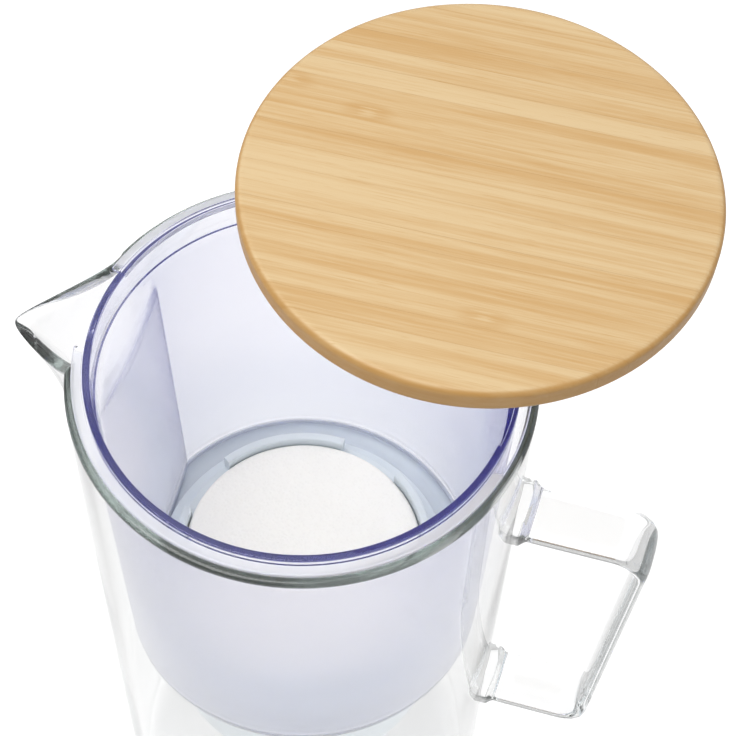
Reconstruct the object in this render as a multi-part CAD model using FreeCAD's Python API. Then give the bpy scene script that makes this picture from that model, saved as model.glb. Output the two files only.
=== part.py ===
import FreeCAD, Part
import math
import os

# A glass water filter pitcher with its funnel, filter cartridge and bamboo lid, in millimetres.
# +Z is up. The origin is the centre of the flat base, the handle points to +X and the spout to -X.

# Glass jug
jug_height = 272.0
jug_radius = 65.0
jug_wall = 3.0
jug_base = 6.0
jug_corner = 10.0
jug_inner_corner = 6.5
rim_round = 1.2

# Spout, a rounded V drawn out of the rim
spout_reach = 23.0
spout_drop = 17.0
spout_depth = 44.0
spout_back = 45.0
spout_tip_round = 6.0
spout_lip_sag = 2.0
spout_v_angle = 24.0

# Handle, a flat glass strip bent to a C and welded on at two pads
handle_drop = 40.7
handle_reach = 41.8
handle_height = 122.3
handle_rise = 4.6
handle_lean = 5.6
handle_width = 18.0
handle_thickness = 5.0
handle_outer_round = 9.0
handle_inner_round = 4.5
handle_edge_round = 1.6
handle_embed = 9.0
weld_pad_length = 4.2
weld_pad_width = 20.5
weld_pad_height = 9.5
weld_pad_round = 2.4
weld_gap = 0.05

# Funnel, hung by its flange on the glass rim
funnel_gap = 2.3
funnel_wall = 2.1
funnel_depth = 123.0
funnel_draft = 2.0
funnel_floor = 2.4
floor_round = 4.0
ring_rise = 3.4
ring_round = 0.5
flange_inset = 0.4
flange_thickness = 1.6
flange_round = 0.5
ledge_depth = 6.5
ledge_width = 0.6
notch_half_angle = 12.7
recess_half_angle = 7.4
recess_depth = 0.8

# Flute in the funnel's wall, which leaves the filtered water a way up to the spout
flute_shoulder = 18.0
flute_inset_top = 5.9
flute_inset_floor = 7.1
flute_bulge = 205.0

# Filter cartridge, hung by its flange in the funnel's floor
cartridge_side_gap = 0.7
socket_clearance = 0.6
shell_wall = 1.8
shell_depth = 55.0
shell_flange_width = 2.2
shell_flange_thickness = 1.8
shell_round = 4.0
seal_thickness = 1.0
seal_width = 1.5
cap_thickness = 1.4
cap_inset = 1.6
cap_rise = 9.4
cap_wall = 1.6
cap_round = 1.0
collar_height = 6.0
collar_width = 2.7
collar_count = 4
collar_arc_angle = 59.0
collar_phase = 29.0
strainer_hole_radius = 2.2
strainer_edge = 8.0
strainer_rings = 3
strainer_holes_per_ring = 6
bed_clearance = 0.4
fleece_thickness = 1.5
bed_names = ("carbon_bed", "mineral_bed", "resin_bed")
fleece_names = ("top_fleece", "upper_fleece", "lower_fleece", "bottom_fleece")

# Foam pad on the cartridge
pad_clearance = 0.4
pad_edge = 3.4
pad_crown = 3.0
pad_draw_in = 0.9

# Lid, shown taken off: up, to the handle's side and to the back
lid_overhang = 3.3
lid_thickness = 8.0
lid_edge_round = 2.8
lid_lift = 42.0
lid_shift_x = 36.0
lid_shift_y = 35.9
plug_clearance = 0.6
plug_depth = 4.0
plug_bevel_share = 1.15
gasket_width = 2.2
gasket_groove = 0.8
gasket_proud = 0.4

# Shared fits
fit_gap = 0.2
overrun = 5.0
full_turn = 360.0
half_turn = 180.0

# Places worked out from the sizes above
jug_inner_radius = jug_radius - jug_wall
ring_radius = jug_inner_radius - funnel_gap
ring_top = jug_height + ring_rise
mouth_radius = ring_radius - funnel_wall
ledge_z = jug_height - ledge_depth
wall_top_radius = mouth_radius - ledge_width
wall_floor_radius = wall_top_radius - funnel_draft
floor_z = jug_height - funnel_depth
floor_bottom = floor_z - funnel_floor
panel_top_radius = wall_top_radius - flute_inset_top
panel_floor_radius = wall_floor_radius - flute_inset_floor

shell_flange_radius = panel_floor_radius - cartridge_side_gap
socket_radius = shell_flange_radius - shell_flange_width
seal_z = floor_z + fit_gap
shell_flange_z = seal_z + seal_thickness + fit_gap
shell_top = shell_flange_z + shell_flange_thickness
shell_bottom = floor_z - shell_depth
shell_radius = socket_radius - socket_clearance
shell_inner_radius = shell_radius - shell_wall
shell_inner_round = shell_round - shell_wall
strainer_pitch = (shell_inner_radius - strainer_edge) / strainer_rings
cap_z = shell_top + fit_gap
cap_top = cap_z + cap_rise
cap_foot_radius = shell_flange_radius - fit_gap
cap_radius = shell_inner_radius - cap_inset
collar_inner_radius = cap_radius - collar_width
pad_z = cap_top + fit_gap
pad_radius = collar_inner_radius - pad_clearance

lid_radius = ring_radius + lid_overhang
lid_closed_z = ring_top + fit_gap + gasket_proud
lid_shift = math.hypot(lid_shift_x, lid_shift_y)


def on_section(across, up):
    """Place a point of a turned outline: its radius and its height."""
    return FreeCAD.Vector(across, 0, up)


def rounded_outline(corners, place):
    """Closed wire through corners (across, up, round), where each corner has its own radius."""
    turns = []
    for index, (across, up, radius) in enumerate(corners):
        here = FreeCAD.Vector(across, up, 0)
        before = FreeCAD.Vector(corners[index - 1][0], corners[index - 1][1], 0)
        after_index = (index + 1) % len(corners)
        after = FreeCAD.Vector(corners[after_index][0], corners[after_index][1], 0)
        back = (before - here).normalize()
        ahead = (after - here).normalize()
        half = back.getAngle(ahead) / 2
        if radius == 0:
            turns.append((here, here, here))
            continue
        reach = radius / math.tan(half)
        middle = (back + ahead).normalize() * (radius / math.sin(half) - radius)
        turns.append((here + back * reach, here + middle, here + ahead * reach))
    edges = []
    for index, (start, middle, end) in enumerate(turns):
        last_end = turns[index - 1][2]
        edges.append(Part.makeLine(place(last_end.x, last_end.y), place(start.x, start.y)))
        if start != end:
            points = [place(point.x, point.y) for point in (start, middle, end)]
            edges.append(Part.Arc(*points).toShape())
    return Part.Wire(edges)


def turned(corners):
    """Solid of revolution about Z from an outline of (radius, height, round) corners."""
    face = Part.Face(rounded_outline(corners, on_section))
    return face.revolve(FreeCAD.Vector(0, 0, 0), FreeCAD.Vector(0, 0, 1), full_turn)


def disc(radius, z, thickness):
    """Flat round plate."""
    return Part.makeCylinder(radius, thickness, FreeCAD.Vector(0, 0, z))


def ring(outer, inner, z, thickness):
    """Flat round plate with a round hole."""
    return disc(outer, z, thickness).cut(disc(inner, z, thickness))


def sector(outer, inner, z, thickness, middle_angle, half_angle):
    """Stretch of a flat ring, centred on an angle about Z."""
    corners = [(inner, z, 0), (outer, z, 0), (outer, z + thickness, 0), (inner, z + thickness, 0)]
    face = Part.Face(rounded_outline(corners, on_section))
    piece = face.revolve(FreeCAD.Vector(0, 0, 0), FreeCAD.Vector(0, 0, 1), 2 * half_angle)
    piece.rotate(FreeCAD.Vector(0, 0, 0), FreeCAD.Vector(0, 0, 1), middle_angle - half_angle)
    return piece


def strainer_holes(z, thickness):
    """Rings of round holes, for a plate that water passes through."""
    holes = []
    for ring_index in range(1, strainer_rings + 1):
        count = ring_index * strainer_holes_per_ring
        for index in range(count):
            angle = 2 * math.pi * index / count
            radius = ring_index * strainer_pitch
            place = FreeCAD.Vector(radius * math.cos(angle), radius * math.sin(angle), z - overrun)
            holes.append(Part.makeCylinder(strainer_hole_radius, thickness + 2 * overrun, place))
    return Part.Compound(holes)


# Glass jug and spout
spout_slope = spout_reach / (spout_depth - spout_drop)
spout_tangent = math.tan(math.radians(spout_v_angle))
spout_sine = math.sin(math.radians(spout_v_angle))
spout_tip = jug_radius + spout_reach


def spout_apex(inset):
    """Where the straight sides of the spout's V would meet, at the height of the rim."""
    tip = spout_tip + spout_slope * spout_drop - inset
    radius = spout_tip_round - inset
    return tip + radius * (1 / spout_sine - 1)


def spout_body(inset):
    """The spout's V, swept down and inwards from the rim, drawn in by a wall thickness."""
    apex = spout_apex(inset)
    half_width = (apex - spout_back) * spout_tangent
    corners = [
        (-spout_back, -half_width, 0),
        (-spout_back, half_width, 0),
        (-apex, 0, spout_tip_round - inset),
    ]
    section = rounded_outline(corners, lambda x, y: FreeCAD.Vector(x, y, jug_height))
    down = FreeCAD.Vector(spout_slope * spout_depth, 0, -spout_depth)
    return Part.Face(section).extrude(down)


def spout_lip_start():
    """How far from the axis the spout's sides leave the rim."""
    apex = spout_apex(0)
    square = spout_tangent ** 2
    root = square ** 2 * apex ** 2 - (1 + square) * (square * apex ** 2 - jug_radius ** 2)
    return (square * apex + math.sqrt(root)) / (1 + square)


def spout_lip_cut():
    """What is taken away above the spout's lip, which falls from the rim to the tip with a slight sag."""
    lip_start = on_section(-spout_lip_start(), jug_height)
    lip_end = on_section(-spout_tip, jug_height - spout_drop)
    along = (lip_end - lip_start).normalize()
    middle = (lip_start + lip_end) / 2 + on_section(-along.z, along.x) * spout_lip_sag
    far = -spout_apex(0) - overrun
    above = jug_height + overrun
    corners = [lip_end, on_section(far, lip_end.z), on_section(far, above), on_section(lip_start.x, above)]
    edges = [Part.Arc(lip_start, middle, lip_end).toShape()]
    for corner, following in zip(corners, corners[1:] + [lip_start]):
        edges.append(Part.makeLine(corner, following))
    face = Part.Face(Part.Wire(edges))
    face.translate(FreeCAD.Vector(0, -jug_radius, 0))
    return face.extrude(FreeCAD.Vector(0, 2 * jug_radius, 0))


def glass_jug():
    """Straight round glass body with a flat base, a rounded rim and the spout."""
    body = turned([
        (0, 0, 0),
        (jug_radius, 0, jug_corner),
        (jug_radius, jug_height, rim_round),
        (jug_inner_radius, jug_height, rim_round),
        (jug_inner_radius, jug_base, jug_inner_corner),
        (0, jug_base, 0),
    ])
    hollow = disc(jug_inner_radius, jug_base, jug_height)
    passage = spout_body(jug_wall)
    spout = spout_body(0).cut(passage).cut(hollow)
    jug = body.cut(passage).fuse(spout).cut(spout_lip_cut())
    return jug.removeSplitter()


# Handle
def handle_strip():
    """The bent strip, from one weld pad round to the other."""
    wall = jug_radius - handle_embed
    top = jug_height - handle_drop
    low = top - handle_height
    end = jug_radius + handle_reach
    low_end = end - handle_lean
    corners = [
        (wall, top, 0),
        (end, top + handle_rise, handle_outer_round),
        (low_end, low + handle_rise, handle_outer_round),
        (wall, low, 0),
        (wall, low + handle_thickness, 0),
        (low_end - handle_thickness, low + handle_rise + handle_thickness, handle_inner_round),
        (end - handle_thickness, top + handle_rise - handle_thickness, handle_inner_round),
        (wall, top - handle_thickness, 0),
    ]
    face = Part.Face(rounded_outline(corners, on_section))
    face.translate(FreeCAD.Vector(0, -handle_width / 2, 0))
    strip = face.extrude(FreeCAD.Vector(0, handle_width, 0))
    flat_edges = [edge for edge in strip.Edges if edge.BoundBox.YLength < weld_gap]
    long_edges = [edge for edge in flat_edges if edge.BoundBox.XMax > wall + weld_gap]
    return strip.makeFillet(handle_edge_round, long_edges)


def weld_pad(z):
    """Thick pad of glass between the strip and the jug's wall."""
    half_width = weld_pad_width / 2
    half_height = weld_pad_height / 2
    corners = [
        (-half_width, z - half_height, weld_pad_round),
        (half_width, z - half_height, weld_pad_round),
        (half_width, z + half_height, weld_pad_round),
        (-half_width, z + half_height, weld_pad_round),
    ]
    start = jug_radius - handle_embed
    outline = rounded_outline(corners, lambda y, up: FreeCAD.Vector(start, y, up))
    return Part.Face(outline).extrude(FreeCAD.Vector(handle_embed + weld_pad_length, 0, 0))


def glass_handle():
    """Bent strip and its two weld pads, ending on the jug's wall."""
    rise_share = handle_embed / (handle_embed + handle_reach)
    middle = jug_height - handle_drop - handle_thickness / 2 + handle_rise * rise_share
    handle = handle_strip()
    handle = handle.fuse(weld_pad(middle))
    handle = handle.fuse(weld_pad(middle - handle_height + handle_thickness))
    return handle.cut(disc(jug_radius + weld_gap, 0, jug_height)).removeSplitter()


# Funnel
def flute(inset):
    """The dent in the funnel's wall: a leaning round panel under a sloping shoulder."""
    lean = (panel_top_radius - panel_floor_radius) / (funnel_depth - flute_shoulder)
    low = floor_bottom - overrun
    high = jug_height
    low_radius = flute_bulge - inset + lean * (floor_z - low)
    high_radius = flute_bulge - inset - lean * (high - floor_z)
    axis = FreeCAD.Vector(-panel_floor_radius - flute_bulge, 0, low)
    panel = Part.makeCone(low_radius, high_radius, high - low, axis)
    slope = flute_inset_top / (flute_shoulder - ledge_depth)
    shift = inset * math.hypot(1, slope)
    drop_to_axis = (wall_top_radius + shift) / slope
    corners = [
        (-wall_top_radius - shift - slope * overrun, ledge_z + overrun, 0),
        (0, ledge_z - drop_to_axis, 0),
        (0, low - drop_to_axis, 0),
        (-wall_top_radius - shift - slope * overrun, low - drop_to_axis, 0),
    ]
    face = Part.Face(rounded_outline(corners, on_section))
    face.translate(FreeCAD.Vector(0, -jug_radius, 0))
    return panel.common(face.extrude(FreeCAD.Vector(0, 2 * jug_radius, 0)))


def funnel():
    """Upper chamber: a cup with a flange, a raised ring, the flute and the cartridge's socket."""
    outside = turned([
        (0, floor_bottom, 0),
        (wall_floor_radius + funnel_wall, floor_bottom, floor_round + funnel_wall),
        (ring_radius, ledge_z, 0),
        (ring_radius, ring_top, ring_round),
        (0, ring_top, 0),
    ])
    inside = turned([
        (0, floor_z, 0),
        (wall_floor_radius, floor_z, floor_round),
        (wall_top_radius, ledge_z, 0),
        (mouth_radius, ledge_z, 0),
        (mouth_radius, ring_top + overrun, 0),
        (0, ring_top + overrun, 0),
    ])
    wall = outside.cut(flute(funnel_wall)).cut(inside.cut(flute(0)))
    flange_z = jug_height + fit_gap
    flange_radius = jug_radius - flange_inset
    inner = ring_radius - funnel_wall / 2
    flange = turned([
        (inner, flange_z, 0),
        (flange_radius, flange_z, flange_round),
        (flange_radius, flange_z + flange_thickness, flange_round),
        (inner, flange_z + flange_thickness, 0),
    ])
    notch = sector(jug_radius + overrun, ring_radius, jug_height, overrun, half_turn, notch_half_angle)
    recess_outer = mouth_radius + recess_depth
    recess = sector(recess_outer, jug_wall, ledge_z, ledge_depth + ring_rise + overrun, 0, recess_half_angle)
    socket = disc(socket_radius, floor_bottom - overrun, funnel_floor + 2 * overrun)
    cup = wall.fuse(flange.cut(notch)).cut(recess).cut(socket)
    return cup.removeSplitter()


# Filter cartridge
def cartridge_shell():
    """Cup that holds the filter beds, with a flange to hang by and a strainer for a base."""
    shell = turned([
        (0, shell_bottom, 0),
        (shell_radius, shell_bottom, shell_round),
        (shell_radius, shell_flange_z, 0),
        (shell_flange_radius, shell_flange_z, 0),
        (shell_flange_radius, shell_top, 0),
        (shell_inner_radius, shell_top, 0),
        (shell_inner_radius, shell_bottom + shell_wall, shell_inner_round),
        (0, shell_bottom + shell_wall, 0),
    ])
    return shell.cut(strainer_holes(shell_bottom, shell_wall))


def cartridge_seal():
    """Flat ring between the cartridge's flange and the funnel's floor."""
    return ring(socket_radius + fit_gap + seal_width, socket_radius + fit_gap, seal_z, seal_thickness)


def cartridge_cap():
    """Drum with a foot on the shell's flange, a strainer for a top and raised arcs that hold the foam pad."""
    plate_z = cap_top - cap_thickness
    drum = turned([
        (0, plate_z, 0),
        (cap_radius - cap_wall, plate_z, 0),
        (cap_radius - cap_wall, cap_z, 0),
        (cap_foot_radius, cap_z, 0),
        (cap_foot_radius, cap_z + cap_thickness, 0),
        (cap_radius, cap_z + cap_thickness, cap_round),
        (cap_radius, cap_top, 0),
        (0, cap_top, 0),
    ])
    drum = drum.cut(strainer_holes(plate_z, cap_thickness))
    for index in range(collar_count):
        middle_angle = collar_phase + index * full_turn / collar_count
        arc = sector(
            cap_radius, collar_inner_radius, plate_z, cap_thickness + collar_height,
            middle_angle, collar_arc_angle / 2,
        )
        drum = drum.fuse(arc)
    return drum.removeSplitter()


def filter_layers():
    """Fleeces and filter beds, stacked in turn from the cap down to the flat of the strainer."""
    low = shell_bottom + shell_wall
    gaps = (len(bed_names) + len(fleece_names) + 1) * fit_gap
    bed_room = shell_top - low - gaps - len(fleece_names) * fleece_thickness
    bed_thickness = bed_room / len(bed_names)
    radius = shell_inner_radius - bed_clearance
    layers = {}
    top = shell_top
    for index, name in enumerate(fleece_names):
        top = top - fit_gap - fleece_thickness
        layers[name] = disc(radius, top, fleece_thickness)
        if index < len(bed_names):
            top = top - fit_gap - bed_thickness
            layers[bed_names[index]] = disc(radius, top, bed_thickness)
    layers[fleece_names[-1]] = disc(shell_inner_radius - shell_inner_round, top, fleece_thickness)
    return layers


def filter_pad():
    """Round foam pad: drawn in at its foot, soft at its edge and domed on top."""
    edge_top = pad_z + pad_edge
    edge_middle = pad_z + pad_edge / 2
    shoulder = pad_radius - pad_draw_in
    foot = on_section(shoulder, pad_z)
    bulge = on_section(pad_radius, edge_middle)
    brow = on_section(shoulder, edge_top)
    crown = on_section(0, edge_top + pad_crown)
    dome_radius = (shoulder ** 2 + pad_crown ** 2) / (2 * pad_crown)
    half = math.asin(shoulder / dome_radius) / 2
    dome_rise = dome_radius * (1 - math.cos(half))
    dome_middle = on_section(dome_radius * math.sin(half), edge_top + pad_crown - dome_rise)
    edges = [
        Part.makeLine(on_section(0, pad_z), foot),
        Part.Arc(foot, bulge, brow).toShape(),
        Part.Arc(brow, dome_middle, crown).toShape(),
        Part.makeLine(crown, on_section(0, pad_z)),
    ]
    face = Part.Face(Part.Wire(edges))
    return face.revolve(FreeCAD.Vector(0, 0, 0), FreeCAD.Vector(0, 0, 1), full_turn)


# Lid
def lid_board():
    """Round bamboo board with softened edges and a groove for its gasket."""
    board = turned([
        (0, lid_closed_z, 0),
        (lid_radius, lid_closed_z, lid_edge_round),
        (lid_radius, lid_closed_z + lid_thickness, lid_edge_round),
        (0, lid_closed_z + lid_thickness, 0),
    ])
    return board.cut(ring(mouth_radius + gasket_width, mouth_radius, lid_closed_z, gasket_groove))


def lid_plug():
    """Bevelled disc under the board, which centres the lid in the funnel's mouth."""
    top_radius = mouth_radius - plug_clearance
    bevel = plug_depth * plug_bevel_share * lid_shift / lid_lift
    low = lid_closed_z - plug_depth
    return Part.makeCone(top_radius - bevel, top_radius, plug_depth, FreeCAD.Vector(0, 0, low))


def lid_gasket():
    """Soft ring in the board's groove, which lands on the funnel's ring."""
    low = lid_closed_z - gasket_proud
    return ring(mouth_radius + gasket_width, mouth_radius, low, gasket_groove + gasket_proud)


def lid_pieces():
    """The lid's pieces, moved together from the seat to where the lid is shown."""
    pieces = {"lid_board": lid_board(), "lid_plug": lid_plug(), "lid_gasket": lid_gasket()}
    for piece in pieces.values():
        piece.translate(FreeCAD.Vector(lid_shift_x, lid_shift_y, lid_lift))
    return pieces


pieces = {
    "glass_jug": glass_jug(),
    "glass_handle": glass_handle(),
    "funnel": funnel(),
    "cartridge_shell": cartridge_shell(),
    "cartridge_seal": cartridge_seal(),
    "cartridge_cap": cartridge_cap(),
    "filter_pad": filter_pad(),
}
pieces.update(filter_layers())
pieces.update(lid_pieces())

os.makedirs("parts", exist_ok=True)
for name, shape in pieces.items():
    shape.exportStep("parts/" + name + ".step")
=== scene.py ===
"""Glass water filter pitcher: the looks of its jug, funnel, cartridge, foam pad and bamboo lid."""

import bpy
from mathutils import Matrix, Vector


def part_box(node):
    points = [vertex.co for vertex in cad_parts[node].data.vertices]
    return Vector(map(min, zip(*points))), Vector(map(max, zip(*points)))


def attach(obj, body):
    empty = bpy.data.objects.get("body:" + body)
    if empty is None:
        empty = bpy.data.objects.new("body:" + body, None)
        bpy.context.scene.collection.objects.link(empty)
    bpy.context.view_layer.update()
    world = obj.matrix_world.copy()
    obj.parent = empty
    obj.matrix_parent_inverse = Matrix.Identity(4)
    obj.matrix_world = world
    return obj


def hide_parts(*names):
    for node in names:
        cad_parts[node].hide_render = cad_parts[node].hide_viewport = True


bl_info = {
    "name": "Glass Filter Pitcher",
    "version": (1, 0, 0),
    "blender": (4, 5, 0),
    "location": "View3D > Sidebar > Pitcher",
    "description": "Builds a glass water filter pitcher with its funnel, filter cartridge and bamboo lid",
    "category": "Object",
}

import math

import bmesh
import bpy
import numpy as np
from bpy.props import FloatProperty, FloatVectorProperty, IntProperty, PointerProperty
from mathutils import Matrix, Vector

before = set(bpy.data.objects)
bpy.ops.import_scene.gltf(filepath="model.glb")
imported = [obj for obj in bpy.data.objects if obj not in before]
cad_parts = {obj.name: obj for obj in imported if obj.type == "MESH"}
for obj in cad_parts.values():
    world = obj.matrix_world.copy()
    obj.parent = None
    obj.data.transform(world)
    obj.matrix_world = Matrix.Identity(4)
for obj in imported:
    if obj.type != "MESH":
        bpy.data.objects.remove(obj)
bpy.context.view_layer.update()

# Boxes of the packed nodes, which the sizes below come from
jug_low, jug_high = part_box("glass_jug")
handle_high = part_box("glass_handle")[1]
funnel_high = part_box("funnel")[1]
cap_low, cap_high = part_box("cartridge_cap")
pad_low, pad_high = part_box("filter_pad")
board_low, board_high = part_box("lid_board")
plug_low, plug_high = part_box("lid_plug")
gasket_low, gasket_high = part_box("lid_gasket")
lid_centre = (board_low + board_high) / 2

MERGE_DISTANCE = 2e-7
FINE = 1e-5
CREASE_SUPPORT = 0.00012
WHITE = (1.0, 1.0, 1.0, 1.0)
BLACK = (0.0, 0.0, 0.0, 1.0)

# Finishes: refraction, strength of a tint, places in metres between which a finish changes, and a fixed seed
CLEAR_IOR = 1.5
TINT_DENSITY = 100.0
POLISH_FADE = 0.004
FLOOR_FADE = (0.0002, 0.0035)
FLANGE_FADE = (0.0002, 0.0006)
NOTCH_FADE = (0.0144, 0.0156)
BOARD_EDGE_FADE = (-0.0013, -0.0005)
MARK_SEED = 37.4

# Stage: where the floor's painted shades and the sky's bands begin and end, and which light counts as guided
BASE_SHADE_EDGE = (0.8, 1.1)
LEFT_SHADE_EDGE = (-0.22, -0.02)
HORIZON_RISE = (-0.002, 0.01)
HORIZON_FALL = (0.03, 0.12)
SCREEN_RISE = (0.0, 0.02)
SCREEN_FALL = (0.5, 0.6)
SCREEN_SIDE = (0.4, 0.5)
GUIDED_TURNS = (4, 16)
GUIDED_LEFT = (-0.985, -0.174, 0)
GUIDED_LEFT_EDGE = (-0.025, 0.01)
GUIDED_NEAR_EDGE = (-0.01, 0.03)


# Settings that a user would change
def length(name, description, default):
    """A size in metres."""
    return FloatProperty(name=name, description=description, default=default, unit="LENGTH", precision=5)


def angle(name, description, degrees):
    """An angle, written in degrees."""
    return FloatProperty(name=name, description=description, default=math.radians(degrees), unit="ROTATION")


def share(name, description, default):
    """A number from 0 to 1."""
    return FloatProperty(name=name, description=description, default=default, min=0, max=1, subtype="FACTOR")


def number(name, description, default):
    """A plain number."""
    return FloatProperty(name=name, description=description, default=default)


def whole(name, description, default, least=1):
    """A whole number."""
    return IntProperty(name=name, description=description, default=default, min=least)


def spot(name, description, default):
    """A place in metres."""
    return FloatVectorProperty(name=name, description=description, default=default, unit="LENGTH")


def colour(name, description, default):
    """A colour in linear light."""
    return FloatVectorProperty(
        name=name, description=description, default=default, min=0, max=1, subtype="COLOR"
    )


class JugSizes(bpy.types.PropertyGroup):
    """Sizes of the glass jug and its spout."""

    radius: length("Radius", "Outside radius of the glass body", jug_high.y)
    height: length("Height", "From the base to the rim", jug_high.z)
    wall: length("Wall", "Thickness of the glass", 0.003)
    base: length("Base", "Thickness of the glass base", 0.006)
    corner: length("Base corner", "Outside radius between wall and base", 0.010)
    inner_corner: length("Inner corner", "Inside radius between wall and base", 0.0065)
    rim_round: length("Rim round", "Radius of the fire-polished rim", 0.00145)
    spout_reach: length("Spout reach", "How far the lip stands out from the body", -jug_low.x - jug_high.y)
    spout_drop: length("Spout drop", "How far the lip falls below the rim", 0.0172)
    spout_depth: length("Spout depth", "Where the spout runs into the wall, below the rim", 0.044)
    spout_half_width: length("Spout half width", "From the middle to where the lip leaves the rim", 0.0215)
    spout_tip_share: share("Spout tip", "Roundness of the lip's tip", 0.116)
    spout_root_share: share("Spout root", "Softness where the lip leaves the rim", 0.045)
    spout_fall_power: number("Spout fall", "How early the lip falls towards its tip", 0.61)
    spout_hollow_power: number("Spout hollow", "How hollow the spout is under its lip", 1.35)


class HandleSizes(bpy.types.PropertyGroup):
    """Sizes of the bent glass strip."""

    top: length("Top", "Height of the strip's upper face at the wall", jug_high.z - 0.0407)
    height: length("Height", "From the top of the upper arm to the foot of the lower one", 0.1223)
    rise: length("Rise", "How far the arms climb from the wall to the corners", 0.0046)
    root_share: share("Root", "How much of the rise lies within the wall", 0.177)
    lean: length("Lean", "How far the lower corner stands back from the upper one", 0.0056)
    width: length("Width", "Width of the strip", 0.018)
    thickness: length("Thickness", "Thickness of the strip", 0.005)
    bend: length("Bend", "Radius of the corners, along the middle of the strip", 0.0076)
    section_power: number("Section", "From 2, an oval strip, upwards to a squarer one", 2.8)
    pad_length: length("Weld length", "How far the weld pads stand out from the wall", 0.0042)
    pad_width: length("Weld width", "Width of the weld pads", 2 * handle_high.y)
    pad_height: length("Weld height", "Height of the weld pads", 0.0095)
    pad_power: number("Weld section", "From 2, oval weld pads, upwards to squarer ones", 3.4)
    weld_gap: length("Weld gap", "Gap between the handle's ends and the wall", 0.00005)


class FunnelSizes(bpy.types.PropertyGroup):
    """Sizes of the tinted upper chamber."""

    ring_radius: length("Ring radius", "Outside radius of the raised ring", 0.0597)
    wall: length("Wall", "Thickness of the plastic", 0.0021)
    depth: length("Depth", "From the glass rim to the floor inside", 0.123)
    draft: length("Draft", "How much narrower the wall gets towards the floor", 0.002)
    floor: length("Floor", "Thickness of the floor", 0.0024)
    floor_round: length("Floor round", "Radius between wall and floor", 0.004)
    ring_round: length("Ring round", "Radius along the ring's edges", 0.0005)
    flange_radius: length("Flange radius", "Outside radius of the flange", 0.0629)
    flange_gap: length("Flange gap", "Gap between the flange and the glass rim", 0.0002)
    flange_thickness: length("Flange thickness", "Thickness of the flange", 0.0016)
    flange_round: length("Flange round", "Radius along the flange's edge", 0.0005)
    ledge_depth: length("Ledge depth", "From the glass rim down to the ledge inside", 0.0065)
    ledge_width: length("Ledge width", "Width of the ledge inside", 0.0006)
    socket_radius: length("Socket radius", "Radius of the cartridge's hole in the floor", 0.045)
    notch_half_angle: angle("Notch", "Half the stretch where the flange is cut away for the spout", 12.7)
    recess_half_angle: angle("Recess", "Half the stretch of the recess at the handle", 7.4)
    recess_depth: length("Recess depth", "Depth of the recess in the ring", 0.0008)
    flute_shoulder: length("Flute shoulder", "Depth of the flute's shoulder below the glass rim", 0.018)
    flute_inset_top: length("Flute inset, top", "How far the flute stands in under its shoulder", 0.0059)
    flute_inset_floor: length("Flute inset, floor", "How far the flute stands in at the floor", 0.0071)
    flute_bulge: length("Flute bulge", "Radius of the flute's face", 0.205)
    flute_blend: length("Flute blend", "Moulded radius along the flute's creases", 0.0003)


class CartridgeSizes(bpy.types.PropertyGroup):
    """Sizes of the strainer cap on the cartridge."""

    foot_radius: length("Foot radius", "Outside radius of the cap's foot", cap_high.y)
    drum_radius: length("Drum radius", "Outside radius of the raised drum", 0.041)
    drum_rise: length("Drum rise", "From the foot's underside to the strainer's top", 0.0094)
    drum_wall: length("Drum wall", "Thickness of the drum's wall", 0.0016)
    drum_round: length("Drum round", "Radius between the foot and the drum", 0.001)
    edge_round: length("Edge round", "Radius along the outer edges", 0.0004)
    plate_thickness: length("Plate thickness", "Thickness of the foot and the strainer", 0.0014)
    collar_width: length("Collar width", "Width of the raised arcs", 0.0027)
    collar_round: length("Collar round", "Radius along the arcs' edges", 0.0006)
    collar_count: whole("Collar count", "Number of raised arcs", 4)
    collar_arc: angle("Collar arc", "Length of each raised arc", 59.0)
    collar_phase: angle("Collar phase", "Where the middle of the first arc is", 29.0)
    hole_radius: length("Hole radius", "Radius of the strainer's holes", 0.0022)
    hole_pitch: length("Hole pitch", "From one ring of holes to the next", 0.01153)
    hole_rings: whole("Hole rings", "Number of rings of holes", 3)


class PadSizes(bpy.types.PropertyGroup):
    """Sizes of the foam pad."""

    radius: length("Radius", "Radius of the pad at its widest", pad_high.y)
    edge: length("Edge", "Height of the pad's edge", 0.0034)
    draw_in: length("Draw in", "How far the edge is drawn in at its foot and brow", 0.0009)
    cell: length("Cell", "Size of the foam's dimples", 0.0016)
    dimple: length("Dimple", "Depth of the foam's dimples", 0.00012)


class LidSizes(bpy.types.PropertyGroup):
    """Sizes of the bamboo lid."""

    radius: length("Radius", "Radius of the board", (board_high.x - board_low.x) / 2)
    edge_round: length("Edge round", "Radius along the board's edges", 0.0020)
    gasket_width: length("Gasket width", "Width of the soft ring", 0.0022)
    gasket_groove: length("Groove", "Depth of the gasket's groove", 0.0008)
    plug_foot_share: share("Plug foot", "Radius of the plug's foot as a share of its top", 0.9023)
    plug_round: length("Plug round", "Radius along the plug's lower edge", 0.0008)
    grain_angle: angle("Grain", "Direction of the grain on the board", 4.0)
    strip_width: length("Strip width", "Usual width of a bamboo strip", 0.0062)
    strip_sway: length("Strip sway", "How far the strips sway along the grain", 0.0008)
    strip_uneven: length("Strip uneven", "How far the strips' widths differ", 0.006)
    node_length: length("Node length", "Length of a bamboo node along the grain", 0.007)
    node_spread: length("Node spread", "How far along the strips the nodes are spread", 0.2)


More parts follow.
